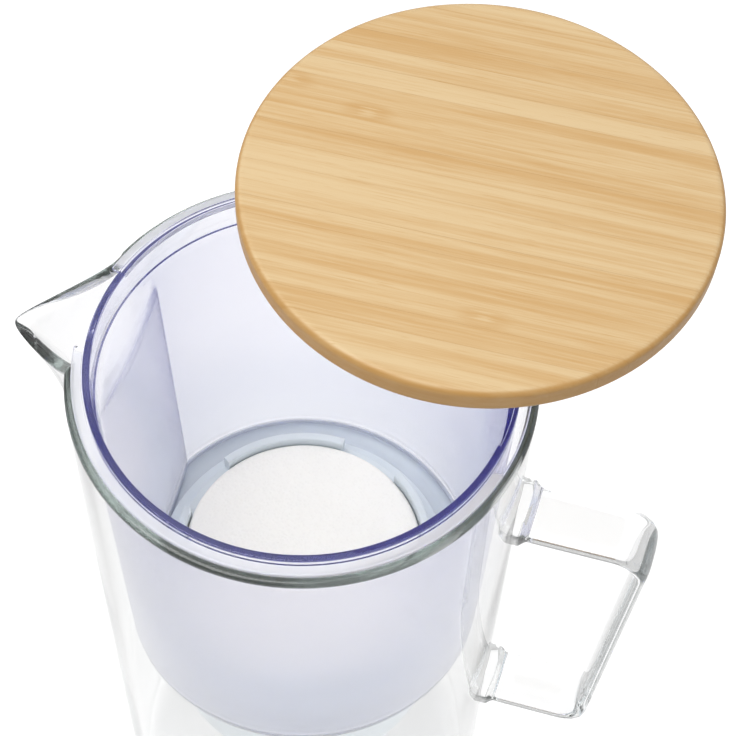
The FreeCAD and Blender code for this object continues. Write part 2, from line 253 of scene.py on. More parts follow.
class Finishes(bpy.types.PropertyGroup):
    """Colours of the materials, and how far two finishes mix."""

    glass_tint: colour("Glass tint", "What the glass lets through", (0.987, 0.9897, 0.9888))
    plastic_tint: colour("Plastic tint", "What the tinted plastic lets through", (0.73, 0.735, 0.94))
    plastic_floor: colour("Plastic floor", "Satin floor of the tinted plastic", (0.64, 0.71, 0.76))
    plastic_flange: colour("Plastic flange", "Milky flange of the tinted plastic", (0.95, 0.965, 0.985))
    floor_satin: share("Floor satin", "How much of the tinted plastic's floor is satin", 0.8)
    flange_milk: share("Flange milk", "How milky the tinted plastic's flange is", 0.5)
    bamboo_light: colour("Bamboo, light", "Palest strips", (0.80, 0.59, 0.325))
    bamboo_dark: colour("Bamboo, dark", "Darkest strips", (0.67, 0.41, 0.165))
    # Also paints the darker rounded edge of the board, partly painted shade
    bamboo_edge: colour("Bamboo, edge", "Rounded edge of the board", (0.60, 0.32, 0.09))
    cap_colour: colour("Cap", "Grey-blue plastic of the cartridge", (0.62, 0.68, 0.72))
    foam_colour: colour("Foam", "White of the foam pad", (0.92, 0.92, 0.885))
    silicone_colour: colour("Silicone", "Milky white of the seals", (0.82, 0.83, 0.82))
    fleece_colour: colour("Fleece", "White of the fleeces", (0.86, 0.86, 0.83))
    carbon_colour: colour("Carbon", "Black of the carbon grains", (0.012, 0.012, 0.013))
    mineral_colour: colour("Mineral", "Buff of the mineral grains", (0.48, 0.39, 0.29))
    resin_colour: colour("Resin", "Amber of the resin beads", (0.57, 0.29, 0.07))


class StageSettings(bpy.types.PropertyGroup):
    """Camera, lamps and surroundings."""

    floor_size: length("Floor", "Width of the floor", 14.0)
    camera_place: spot("Camera place", "Where the camera stands", (0.0906, -0.2604, jug_high.z + 0.441))
    camera_azimuth: angle("Camera azimuth", "How far the camera is turned about the jug", 15.5)
    camera_elevation: angle("Camera elevation", "How far the camera looks down", 57.88)
    camera_roll: angle("Camera roll", "How far the camera is tilted", 2.83)
    camera_lens: number("Camera lens", "Focal length in millimetres", 93.2)
    key_power: number("Key power", "Power of the softbox near the camera in watts", 7.0)
    key_size: length("Key size", "Width of the softbox near the camera", 0.8)
    key_place: spot("Key place", "Where the softbox near the camera stands", (-0.28, -0.42, 1.35))
    top_power: number("Top power", "Power of the overhead softbox in watts", 1.8)
    top_size: length("Top size", "Width of the overhead softbox", 1.1)
    top_place: spot("Top place", "Where the overhead softbox hangs", (-0.25, 0.15, 1.4))
    sky_level: number("Sky level", "Strength of the light from all round", 0.5)
    bounces: whole("Bounces", "How often light may turn inside the glass", 128, least=8)
    screen_azimuth: angle("Screen azimuth", "Where the dark screen stands", -132.0)
    screen_level: share("Screen level", "Brightness of the dark screen", 0.05)
    horizon_shade: share("Horizon shade", "How grey the horizon is, as gloss and glass show it", 0.55)
    turned_level: share("Turned level", "Brightness of light that turned inside one glass edge", 0.6)
    guided_level: share("Guided level", "Brightness of light that turned often inside the glass", 0.45)
    guided_dark: share("Guided dark", "The same, where it comes from the near left", 0.04)
    floor_shade: share("Floor shade", "How much of the floor's white takes shadow", 0.4)
    floor_glow: share("Floor glow", "How much of the floor's white is its own", 0.86)
    glass_glow: share("Glass glow", "The same, as gloss and glass show it", 0.80)
    # Painted shadow under the jug and painted shade on the left, in the floor's glow as glass shows it
    base_shade: share("Base shade", "How much glass darkens the floor under the jug", 0.55)
    left_shade: share("Left shade", "How much glass darkens the floor on the left", 0.2)


# Outlines and meshes
def rounded_line(corners, run=0.003, arc_turn=math.radians(10)):
    """Points along an outline of corners (across, up, round), with arcs at its rounds and even runs."""
    points = []
    last = len(corners) - 1
    for index, (across, up, radius) in enumerate(corners):
        here = Vector((across, up))
        turn = [here]
        if radius > 0 and 0 < index < last:
            back = (Vector(corners[index - 1][:2]) - here).normalized()
            ahead = (Vector(corners[index + 1][:2]) - here).normalized()
            half = back.angle(ahead) / 2
            centre = here + (back + ahead).normalized() * (radius / math.sin(half))
            start = here + back * (radius / math.tan(half)) - centre
            end = here + ahead * (radius / math.tan(half)) - centre
            sweep = math.copysign(math.pi - 2 * half, start.x * end.y - start.y * end.x)
            steps = max(2, math.ceil(abs(sweep) / arc_turn))
            turn = [centre + Matrix.Rotation(sweep * step / steps, 2) @ start for step in range(steps + 1)]
        if points:
            behind = points[-1]
            gap = turn[0] - behind
            steps = max(1, math.ceil(gap.length / run))
            margin = min(0.2, CREASE_SUPPORT / max(gap.length, FINE))
            shares = [margin, 1 - margin] + [step / steps for step in range(1, steps)]
            points.extend(behind + gap * part for part in sorted(shares))
        points.extend(turn)
    return np.array([tuple(point) for point in points])


def turned_rows(radius, height, turns):
    """Grid of points, rings by columns, from radii and heights that may change from column to column."""
    shape = (len(radius), len(turns))
    radius = np.broadcast_to(radius.reshape(len(radius), -1), shape)
    height = np.broadcast_to(height.reshape(len(height), -1), shape)
    return np.stack([radius * np.cos(turns), radius * np.sin(turns), height], axis=2)


def even_turns(count):
    """Angles of evenly spaced columns."""
    return np.linspace(0, 2 * math.pi, count, endpoint=False)


def grid_mesh(name, rows, joined=False):
    """Closed mesh from rings of points: the rings end in poles, or join up where joined is true."""
    rings, columns = rows.shape[:2]
    ring = np.arange(rings if joined else rings - 1)[:, None]
    column = np.arange(columns)[None, :]
    next_ring = (ring + 1) % rings
    next_column = (column + 1) % columns
    corners = [
        ring * columns + column,
        ring * columns + next_column,
        next_ring * columns + next_column,
        next_ring * columns + column,
    ]
    faces = np.stack([np.broadcast_to(corner, (len(ring), columns)) for corner in corners], axis=2)
    mesh = bpy.data.meshes.new(name)
    mesh.from_pydata(rows.reshape(-1, 3).tolist(), [], faces.reshape(-1, 4).tolist())
    tidy_mesh(mesh)
    return mesh


def tidy_mesh(mesh, sharp_angle=math.radians(34)):
    """Merges doubled points, turns the faces outwards and shades the mesh smooth up to its sharp edges."""
    work = bmesh.new()
    work.from_mesh(mesh)
    bmesh.ops.remove_doubles(work, verts=work.verts, dist=MERGE_DISTANCE)
    bmesh.ops.dissolve_degenerate(work, edges=work.edges, dist=MERGE_DISTANCE)
    if work.calc_volume(signed=True) < 0:
        bmesh.ops.reverse_faces(work, faces=work.faces)
    work.to_mesh(mesh)
    work.free()
    mesh.shade_smooth()
    mesh.set_sharp_from_angle(angle=sharp_angle)


def new_piece(name, mesh, material, body, slot, *nodes):
    """Puts a finished mesh in the scene as a piece that rides on a body and stands for its nodes."""
    piece = bpy.data.objects.new(name, mesh)
    bpy.context.scene.collection.objects.link(piece)
    mesh.materials.clear()
    mesh.materials.append(material)
    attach(piece, body)
    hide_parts(*nodes)
    return piece


def finish_node(node, material):
    """Gives a packed node, which stays as it is, its material."""
    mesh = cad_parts[node].data
    mesh.materials.clear()
    mesh.materials.append(material)


# Shader and geometry trees
class Socket:
    """An output socket that takes part in sums: each sum adds a Math node."""

    def __init__(self, tree, socket):
        self.tree = tree
        self.socket = socket

    def sum(self, operation, first, second):
        """A Math node on two values."""
        return self.tree.node("ShaderNodeMath", {"operation": operation}, {0: first, 1: second})

    def __add__(self, other):
        return self.sum("ADD", self, other)

    def __radd__(self, other):
        return self.sum("ADD", other, self)

    def __sub__(self, other):
        return self.sum("SUBTRACT", self, other)

    def __rsub__(self, other):
        return self.sum("SUBTRACT", other, self)

    def __mul__(self, other):
        return self.sum("MULTIPLY", self, other)

    def __rmul__(self, other):
        return self.sum("MULTIPLY", other, self)

    def __truediv__(self, other):
        return self.sum("DIVIDE", self, other)

    def __gt__(self, other):
        return self.sum("GREATER_THAN", self, other)


class Tree:
    """A node tree that is written as Python expressions."""

    def __init__(self, tree):
        self.tree = tree
        self.tree.nodes.clear()

    def node(self, kind, settings=None, inputs=None, output=0):
        """Adds a node with its settings, then its values and links, and returns one of its outputs."""
        node = self.tree.nodes.new(kind)
        for key, value in (settings or {}).items():
            setattr(node, key, value)
        for key, value in (inputs or {}).items():
            links = value if isinstance(value, list) else [value]
            for link in links:
                if isinstance(link, Socket):
                    self.tree.links.new(link.socket, node.inputs[key])
                else:
                    node.inputs[key].default_value = link
        return Socket(self, node.outputs[output]) if node.outputs else None

    def mix(self, factor, first, second):
        """Mixes two colours."""
        return self.node("ShaderNodeMix", {"data_type": "RGBA"}, {0: factor, 6: first, 7: second}, 2)

    def function(self, operation, value):
        """A Math node on one value."""
        return self.node("ShaderNodeMath", {"operation": operation}, {0: value})

    def step(self, value, low, high):
        """Smooth step from 0 at low to 1 at high."""
        settings = {"interpolation_type": "SMOOTHSTEP"}
        return self.node("ShaderNodeMapRange", settings, {0: value, 1: low, 2: high})

    def band(self, value, rise, fall):
        """1 between a smooth rise and a smooth fall, each from one place to another."""
        return self.step(value, *rise) * (1 - self.step(value, *fall))

    def place(self, offset=(0, 0, 0), turn=0.0):
        """Object coordinates, moved to an offset, then turned about Z."""
        found = self.node("ShaderNodeTexCoord", output="Object")
        shift = tuple(-value for value in offset)
        moved = self.node("ShaderNodeMapping", {}, {"Vector": found, "Location": shift})
        return self.node("ShaderNodeMapping", {}, {"Vector": moved, "Rotation": (0, 0, -turn)})

    def stretch(self, vector, factors):
        """Stretches a vector along its axes."""
        return self.node("ShaderNodeVectorMath", {"operation": "MULTIPLY"}, {0: vector, 1: factors})

    def reach(self, vector):
        """Length of a vector."""
        return self.node("ShaderNodeVectorMath", {"operation": "LENGTH"}, {0: vector}, "Value")

    def off_axis(self, vector):
        """Distance from the Z axis."""
        return self.reach(self.stretch(vector, (1, 1, 0)))

    def dot(self, vector, direction):
        """How far a vector goes along a fixed direction."""
        inputs = {0: vector, 1: direction}
        return self.node("ShaderNodeVectorMath", {"operation": "DOT_PRODUCT"}, inputs, "Value")

    def split(self, vector):
        """The three parts of a vector."""
        node = self.tree.nodes.new("ShaderNodeSeparateXYZ")
        self.tree.links.new(vector.socket, node.inputs[0])
        return [Socket(self, output) for output in node.outputs]

    def noise(self, vector, scale, detail=3.0, roughness=0.55):
        """Cloudy noise from 0 to 1."""
        inputs = {"Vector": vector, "Scale": scale, "Detail": detail, "Roughness": roughness}
        return self.node("ShaderNodeTexNoise", {}, inputs)

    def bump(self, height, distance):
        """A normal from a height."""
        return self.node("ShaderNodeBump", {}, {"Height": height, "Distance": distance, "Strength": 1.0})

    def principled(self, **sockets):
        """The main shader, with sockets named by words joined with underscores."""
        inputs = {key.replace("_", " "): value for key, value in sockets.items()}
        return self.node("ShaderNodeBsdfPrincipled", {}, inputs)

    def blend(self, factor, first, second):
        """Mixes two shaders."""
        return self.node("ShaderNodeMixShader", {}, {0: factor, 1: first, 2: second})

    def surface(self, shader, tint=None):
        """Ends a material in its surface, and in a tint inside it where one is given."""
        ends = {"Surface": shader}
        if tint is not None:
            inside = {"Color": opaque(tint), "Density": TINT_DENSITY}
            ends["Volume"] = self.node("ShaderNodeVolumeAbsorption", {}, inside)
        self.node("ShaderNodeOutputMaterial", {}, ends)


def new_material(name):
    """An empty material and its tree."""
    material = bpy.data.materials.new(name)
    material.use_nodes = True
    return material, Tree(material.node_tree)


def opaque(setting):
    """A colour setting with its alpha."""
    return (*setting, 1.0)


def grey(level):
    """A grey of a brightness, with its alpha."""
    return (level, level, level, 1.0)


# Finishes
def clear_glass(finishes):
    """Fire-polished glass: clear across its wall, green-grey along its edges, with slight waves."""
    material, tree = new_material("clear_glass")
    here = tree.place()
    wave = tree.noise(tree.stretch(here, (1, 1, 0.35)), scale=34.0, detail=0.0)
    shader = tree.principled(
        Base_Color=WHITE,
        Roughness=0.0,
        IOR=CLEAR_IOR,
        Transmission_Weight=1.0,
        Normal=tree.bump(wave, distance=0.00015),
    )
    tree.surface(shader, finishes.glass_tint)
    return material


def tinted_plastic(finishes, jug, sizes):
    """Moulded plastic with a lilac-blue tint: polished at its ring, hazy in its wall, satin at its floor."""
    material, tree = new_material("tinted_plastic")
    here = tree.place()
    _, aside, up = tree.split(here)
    haze = tree.noise(here, scale=55.0, detail=3.0)
    wave = tree.noise(tree.stretch(here, (1, 1, 0.5)), scale=46.0, detail=0.0)
    ledge = jug.height - sizes.ledge_depth
    floor = jug.height - sizes.depth
    ring = sizes.ring_radius
    in_wall = 1 - tree.step(up, ledge - POLISH_FADE, ledge)
    on_floor = 1 - tree.step(up, floor + FLOOR_FADE[0], floor + FLOOR_FADE[1])
    on_flange = tree.step(tree.off_axis(here), ring + FLANGE_FADE[0], ring + FLANGE_FADE[1])
    off_notch = tree.step(tree.function("ABSOLUTE", aside), *NOTCH_FADE)
    clear = tree.principled(
        Base_Color=WHITE,
        Roughness=0.02 + in_wall * (0.2 + haze * 0.03),
        IOR=CLEAR_IOR,
        Transmission_Weight=1.0,
        Normal=tree.bump(wave, distance=0.0002),
    )
    satin = tree.principled(
        Base_Color=opaque(finishes.plastic_floor),
        Roughness=0.38 + haze * 0.1,
        IOR=CLEAR_IOR,
        Normal=tree.bump(wave, distance=0.0001),
    )
    milky = tree.principled(
        Base_Color=opaque(finishes.plastic_flange),
        Roughness=0.2 + haze * 0.1,
        IOR=CLEAR_IOR,
    )
    shader = tree.blend(on_floor * finishes.floor_satin, clear, satin)
    shader = tree.blend(on_flange * off_notch * finishes.flange_milk, shader, milky)
    tree.surface(shader, finishes.plastic_tint)
    return material


def bamboo(finishes, sizes):
    """Oiled bamboo: glued strips of slightly different tone, with fibres, dark glue lines and a few nodes."""
    material, tree = new_material("bamboo")
    light, dark, edge = [
        opaque(shade) for shade in (finishes.bamboo_light, finishes.bamboo_dark, finishes.bamboo_edge)
    ]
    here = tree.place(lid_centre, sizes.grain_angle)
    along, across, _ = tree.split(here)

    def grain(repeats, detail=1.0, roughness=0.55):
        """Noise with so many repeats per metre along, across and through the board."""
        return tree.noise(tree.stretch(here, repeats), 1.0, detail, roughness)

    def draw(lane_number):
        """A fixed random number from 0 to 1 for each strip."""
        return tree.node("ShaderNodeTexWhiteNoise", {"noise_dimensions": "1D"}, {"W": lane_number})

    # Strips: each has its own tone, and a mark for its glue line and its node
    sway = grain((3, 0, 0)) - 0.5
    uneven = grain((0, 55, 0)) - 0.5
    lane = (across + sway * sizes.strip_sway + uneven * sizes.strip_uneven) / sizes.strip_width
    strip = tree.function("FLOOR", lane)
    off_middle = tree.function("FRACT", lane) - 0.5
    tone = draw(strip)
    mark = draw(strip + MARK_SEED)

    # Grain: broad bands, streaks and fibres, with short dark dashes and glue lines
    broad = grain((5, 150, 150), detail=2.0)
    streak = grain((9, 420, 420), detail=3.0, roughness=0.6)
    fibre = grain((45, 1500, 1500), detail=2.0, roughness=0.6)
    dash = grain((110, 2600, 2600))
    depth = tone * 0.36 + (broad - 0.5) * 1.1 + (streak - 0.5) * 1.2 + (fibre - 0.5) * 0.7 + 0.28
    glue = tree.step(tree.function("ABSOLUTE", off_middle), 0.46, 0.5) * mark
    base = tree.mix(tree.step(depth, 0.05, 0.95), light, dark)
    base = tree.mix(glue * 0.4, base, edge)
    base = tree.mix(tree.step(dash, 0.6, 0.78) * 0.3, base, edge)

    # Nodes: soft ovals with a dark halo and a pale middle, on some strips only
    off_along = (along - (mark - 0.5) * sizes.node_spread) / sizes.node_length
    off_across = off_middle * 1.7
    ragged = (fibre - 0.5) * 1.6
    off_node = tree.function("SQRT", off_along * off_along + off_across * off_across) + ragged
    with_node = tree.step(tone, 0.6, 0.64)
    halo = tree.band(off_node, (0.1, 0.5), (0.6, 1.2)) * with_node
    middle = (1 - tree.step(off_node, 0.1, 0.5)) * with_node
    base = tree.mix(halo * streak * 0.6, base, edge)
    base = tree.mix(middle * 0.35, base, light)

    # The rounded edge is darker: end grain, and painted shade along the edge
    rim = tree.step(tree.off_axis(here), *[sizes.radius + fade for fade in BOARD_EDGE_FADE])
    base = tree.mix(rim * (0.55 + streak * 0.5), base, edge)
    shader = tree.principled(
        Base_Color=base,
        Roughness=0.4 + fibre * 0.14,
        IOR=1.45,
        Normal=tree.bump(streak + fibre * 0.5 - glue * 0.6, distance=0.00008),
    )
    tree.surface(shader)
    return material


def moulded_plastic(name, plastic_colour, roughness):
    """Opaque moulded plastic with a fine grain and slight unevenness."""
    material, tree = new_material(name)
    here = tree.place()
    cloud = tree.noise(here, scale=42.0, detail=3.0)
    grain = tree.noise(here, scale=2600.0, detail=2.0)
    paler = [value * 1.12 for value in plastic_colour]
    shader = tree.principled(
        Base_Color=tree.mix(cloud, opaque(plastic_colour), opaque(paler)),
        Roughness=roughness + cloud * 0.12,
        IOR=1.48,
        Normal=tree.bump(grain, distance=0.00002),
    )
    tree.surface(shader)
    return material


def soft_white(name, white, cell_scale, depth):
    """Open foam or pressed fleece: a pale matt surface of small cells, with painted shade in their hollows.
    """
    material, tree = new_material(name)
    here = tree.place()
    cell = tree.node("ShaderNodeTexVoronoi", {}, {"Vector": here, "Scale": cell_scale})
    fluff = tree.noise(here, scale=cell_scale * 2.4, detail=3.0)
    cloud = tree.noise(here, scale=60.0, detail=2.0)
    # Cell hollows get painted shade and cell rims the white; the cloud adds random tone
    painted_hollow_shade = [value * 0.93 for value in white]
    height = cell + fluff * 0.6
    pale = tree.step(height, 0.1, 0.9) * 0.6 + cloud * 0.4
    shader = tree.principled(
        Base_Color=tree.mix(pale, opaque(painted_hollow_shade), opaque(white)),
        Roughness=0.88 + fluff * 0.1,
        IOR=1.4,
        Normal=tree.bump(height, depth),
    )
    tree.surface(shader)
    return material


def grains(name, grain_colour, scale, roughness):
    """A bed of loose grains, each with its own tone and painted shade in the gap round it."""
    material, tree = new_material(name)
    cells = {"Vector": tree.place(), "Scale": scale}
    edge = tree.node("ShaderNodeTexVoronoi", {"feature": "DISTANCE_TO_EDGE"}, cells)
    tone = tree.node("ShaderNodeTexVoronoi", {}, cells, "Color")
    shade, _, _ = tree.split(tone)
    paler = [min(1.0, value * 1.5 + 0.01) for value in grain_colour]
    # The dark gaps between the grains are painted shade
    darker = [value * 0.25 for value in grain_colour]
    own = tree.mix(shade, opaque(grain_colour), opaque(paler))
    filled = tree.step(edge, 0.02, 0.16)
    shader = tree.principled(
        Base_Color=tree.mix(filled, opaque(darker), own),
        Roughness=roughness + shade * 0.15,
        IOR=1.45,
        Normal=tree.bump(filled, distance=0.0004),
    )
    tree.surface(shader)
    return material


# Jug and handle
def fan_of_turns(fine_half, fine_step, coarse_step):
    """Angles of columns measured from the spout's middle, fine near it and coarser round the back."""
    fine_count = round(2 * fine_half / fine_step)
    coarse_count = round((2 * math.pi - 2 * fine_half) / coarse_step)
    fine = np.linspace(-fine_half, fine_half, fine_count, endpoint=False)
    coarse = np.linspace(fine_half, 2 * math.pi - fine_half, coarse_count, endpoint=False)
    return np.concatenate([fine, coarse])


def spout_share(sizes, aside):
    """How far the lip is drawn out, from 0 at its root to 1 at its tip, by the place aside of the middle."""
    tip = sizes.spout_tip_share
    root = sizes.spout_root_share
    fall = (np.sqrt(aside ** 2 + tip ** 2) - tip) / (math.sqrt(1 + tip ** 2) - tip)
    drawn = np.clip(1 - fall, 0, None)
    return drawn ** 2 * (1 + root) / (drawn + root)


def jug_rows(sizes):
    """Grid of the turned jug, with the spout drawn out of its rim."""
    inner = sizes.radius - sizes.wall
    outline = rounded_line([
        (0, 0, 0),
        (sizes.radius, 0, sizes.corner),
        (sizes.radius, sizes.height, sizes.rim_round),
        (inner, sizes.height, sizes.rim_round),
        (inner, sizes.base, sizes.inner_corner),
        (0, sizes.base, 0),
    ])
    radius, height = outline[:, 0], outline[:, 1]
    turns = fan_of_turns(
        fine_half=math.radians(24), fine_step=math.radians(0.4), coarse_step=math.radians(1.5)
    )
    rows = turned_rows(radius, height, turns + math.pi)
    skin = np.clip((sizes.radius - radius) / sizes.wall, 0, 1)[:, None]
    root_depth = sizes.spout_half_width ** 2 / (2 * sizes.radius)
    side_angle = math.atan(sizes.spout_half_width / (sizes.spout_reach + root_depth))
    half_width = sizes.spout_half_width - skin * sizes.wall / math.cos(side_angle)
    lip = sizes.radius + sizes.spout_reach - skin * sizes.wall / math.sin(side_angle)
    front = np.abs(turns) < math.pi / 2
    drawn = spout_share(sizes, radius[:, None] * np.sin(turns) / half_width) * front
    sunk = np.clip((sizes.height - height) / sizes.spout_depth, 0, 1)[:, None]
    rows[:, :, 0] -= (lip - radius[:, None]) * drawn * (1 - sunk) ** sizes.spout_hollow_power
    rows[:, :, 2] -= sizes.spout_drop * drawn ** sizes.spout_fall_power * (1 - sunk)
    return rows


def strip_section(width, thickness, power, count=72):
    """Points round a strip with crowned faces and round edges, across and through it."""
    turns = even_turns(count)
    cosine, sine = np.cos(turns), np.sin(turns)
    across = np.sign(cosine) * np.abs(cosine) ** (2 / power) * width / 2
    through = np.sign(sine) * np.abs(sine) ** (2 / power) * thickness / 2
    return np.stack([across, through], axis=1)


def handle_line(jug, sizes):
    """Middle line of the strip from the upper weld round to the lower one, across and up."""
    half = sizes.thickness / 2
    wall = jug.radius + sizes.weld_gap
    end = handle_high.x - half
    low = sizes.top - sizes.height
    start = sizes.rise * sizes.root_share
    corners = [
        (wall, sizes.top + start - half, 0),
        (end, sizes.top + sizes.rise - half, sizes.bend),
        (end - sizes.lean, low + sizes.rise + half, sizes.bend),
        (wall, low + start + half, 0),
    ]
    return rounded_line(corners, run=0.0004, arc_turn=math.radians(6))


def handle_rows(jug, sizes):
    """Grid of the strip: sections along its middle line, swelling to a weld pad at each end."""
    line = handle_line(jug, sizes)
    steps = np.linalg.norm(np.diff(line, axis=0), axis=1)
    gone = np.concatenate([[0], np.cumsum(steps)])
    from_end = np.minimum(gone, gone[-1] - gone)
    near_weld = from_end < 3 * sizes.pad_length
    every_fourth = np.arange(len(line)) % 4 == 0
    keep = near_weld | every_fourth
    keep[[0, -1]] = True
    tangents = np.gradient(line, axis=0)
    tangents /= np.linalg.norm(tangents, axis=1)[:, None]
    full_pad, pad_slope = 0.7 * sizes.pad_length, 0.55 * sizes.pad_length
    shoulder = np.clip((from_end - full_pad) / pad_slope, 0, 1)
    swell = 1 - shoulder ** 2 * (3 - 2 * shoulder)
    thin = strip_section(sizes.width, sizes.thickness, sizes.section_power)
    thick = strip_section(sizes.pad_width, sizes.pad_height, sizes.pad_power)
    seat = jug.radius + sizes.weld_gap
    fit_reach = 2 * sizes.pad_length
    rows = []
    for point, tangent, part, distance in zip(line[keep], tangents[keep], swell[keep], from_end[keep]):
        section = thin + (thick - thin) * part
        across = section[:, 0]
        fit = max(0.0, 1 - distance / fit_reach)
        lean_x = point[0] - tangent[1] * section[:, 1] * (1 - fit)
        hollow = np.sqrt(seat ** 2 - across ** 2) - seat
        up = point[1] + section[:, 1] * (tangent[0] * (1 - fit) + math.copysign(fit, tangent[0]))
        rows.append(np.stack([lean_x + hollow * fit, across, up], axis=1))
    first, last = [np.broadcast_to(row.mean(axis=0), row.shape) for row in (rows[0], rows[-1])]
    return np.stack([first] + rows + [last])


# Funnel
def soft_min(first, second, blend):
    """The smaller of two values, blended where they are close."""
    near = np.clip(0.5 + 0.5 * (second - first) / blend, 0, 1)
    return second + (first - second) * near - blend * near * (1 - near)


def soft_max(first, second, blend):
    """The larger of two values, blended where they are close."""
    return -soft_min(-first, -second, blend)


def edged_turns(turns, edges, clearance=math.radians(0.15)):
    """Doubles the columns at sharp edges: angles, and for each edge pair whether a column lies inside it."""
    columns = []
    for middle, half in edges:
        for side in (-1, 1):
            turns = turns[np.abs(turns - (middle + side * half)) > clearance]
    for turn in turns:
        columns.append((turn, 0, [abs(turn - middle) < half for middle, half in edges]))
    for number_of_edge, (middle, half) in enumerate(edges):
        for side in (-1, 1):
            for inside in (False, True):
                flags = [number_of_edge == other and inside for other in range(len(edges))]
                order = side * (-1 if inside else 1)
                columns.append((middle + side * half, order, flags))
    columns.sort(key=lambda column: column[:2])
    return np.array([column[0] for column in columns]), np.array([column[2] for column in columns])


def fluted(jug, sizes, radius, height, turns, inset, far=1.0, least_cosine=0.2):
    """Radii of a skin of the funnel, drawn in at the flute. The outer skin lies an inset further out."""
    rim = jug.height
    mouth = sizes.ring_radius - sizes.wall
    wall_top = mouth - sizes.ledge_width
    wall_floor = wall_top - sizes.draft
    ledge_z = rim - sizes.ledge_depth
    floor_z = rim - sizes.depth
    panel_floor = wall_floor - sizes.flute_inset_floor
    panel_top = wall_top - sizes.flute_inset_top
    lean = (panel_top - panel_floor) / (sizes.depth - sizes.flute_shoulder)
    reach = panel_floor + sizes.flute_bulge
    bulge = sizes.flute_bulge - inset - lean * (height - floor_z)
    cosine, sine = np.cos(turns), np.sin(turns)
    square = bulge ** 2 - (reach * sine) ** 2
    panel = np.where((square > 0) & (cosine > 0), reach * cosine - np.sqrt(np.clip(square, 0, None)), far)
    slope = sizes.flute_inset_top / (sizes.flute_shoulder - sizes.ledge_depth)
    plane = wall_top - slope * (ledge_z - height) + inset * math.hypot(1, slope)
    facet = np.where(cosine > least_cosine, plane / np.clip(cosine, least_cosine, None), far)
    dent = soft_max(panel, facet, sizes.flute_blend)
    return soft_min(radius, dent, sizes.flute_blend)


def funnel_rows(jug, sizes):
    """Grid of the funnel: floor, wall, ledge, ring, flange and outside, with the flute, notch and recess."""
    rim = jug.height
    mouth = sizes.ring_radius - sizes.wall
    wall_top = mouth - sizes.ledge_width
    wall_floor = wall_top - sizes.draft
    ledge_z = rim - sizes.ledge_depth
    floor_z = rim - sizes.depth
    floor_bottom = floor_z - sizes.floor
    ring_top = funnel_high.z
    flange_low = rim + sizes.flange_gap
    flange_top = flange_low + sizes.flange_thickness
    inside = rounded_line([
        (sizes.socket_radius, floor_bottom, 0),
        (sizes.socket_radius, floor_z, 0),
        (wall_floor, floor_z, sizes.floor_round),
        (wall_top, ledge_z, 0),
    ], run=0.0022)
    top = rounded_line([
        (mouth, ledge_z, 0),
        (mouth, ring_top, sizes.ring_round),
        (sizes.ring_radius, ring_top, sizes.ring_round),
        (sizes.ring_radius, flange_top, 0),
        (sizes.flange_radius, flange_top, sizes.flange_round),
        (sizes.flange_radius, flange_low, sizes.flange_round),
        (sizes.ring_radius, flange_low, 0),
        (sizes.ring_radius, ledge_z, 0),
    ], arc_turn=math.radians(18))
    outside = rounded_line([
        (sizes.ring_radius, ledge_z, 0),
        (wall_floor + sizes.wall, floor_bottom, sizes.floor_round + sizes.wall),
        (sizes.socket_radius, floor_bottom, 0),
    ], run=0.0022)[1:-1]
    turns = fan_of_turns(
        fine_half=math.radians(42), fine_step=math.radians(0.5), coarse_step=math.radians(1.5)
    )
    edges = [(0, sizes.notch_half_angle), (math.pi, sizes.recess_half_angle)]
    turns, flags = edged_turns(turns, edges)
    notch, recess = flags[:, 0], flags[:, 1]
    inner_skin = fluted(jug, sizes, inside[:, :1], inside[:, 1:], turns, 0.0)
    outer_skin = fluted(jug, sizes, outside[:, :1], outside[:, 1:], turns, sizes.wall)
    ring_skin = np.repeat(top[:, :1], len(turns), axis=1)
    ring_skin[:, notch] = np.minimum(ring_skin[:, notch], sizes.ring_radius)
    at_mouth = top[:, 0] < mouth + sizes.wall / 2
    ring_skin[np.ix_(at_mouth, recess)] += sizes.recess_depth
    radius = np.concatenate([inner_skin, ring_skin, outer_skin])
    height = np.concatenate([inside[:, 1], top[:, 1], outside[:, 1]])
    return turned_rows(radius, height, turns + math.pi)


# Cartridge
def drum_outline(sizes):
    """Outline of the cap: its foot on the shell's flange and the raised drum with its top."""
    top = cap_low.z + sizes.drum_rise
    plate = top - sizes.plate_thickness
    inner = sizes.drum_radius - sizes.drum_wall
    foot_top = cap_low.z + sizes.plate_thickness
    return rounded_line([
        (0, plate, 0),
        (inner, plate, 0),
        (inner, cap_low.z, 0),
        (sizes.foot_radius, cap_low.z, sizes.edge_round),
        (sizes.foot_radius, foot_top, sizes.edge_round),
        (sizes.drum_radius, foot_top, sizes.drum_round),
        (sizes.drum_radius, top, sizes.edge_round),
        (0, top, 0),
    ], run=0.004)


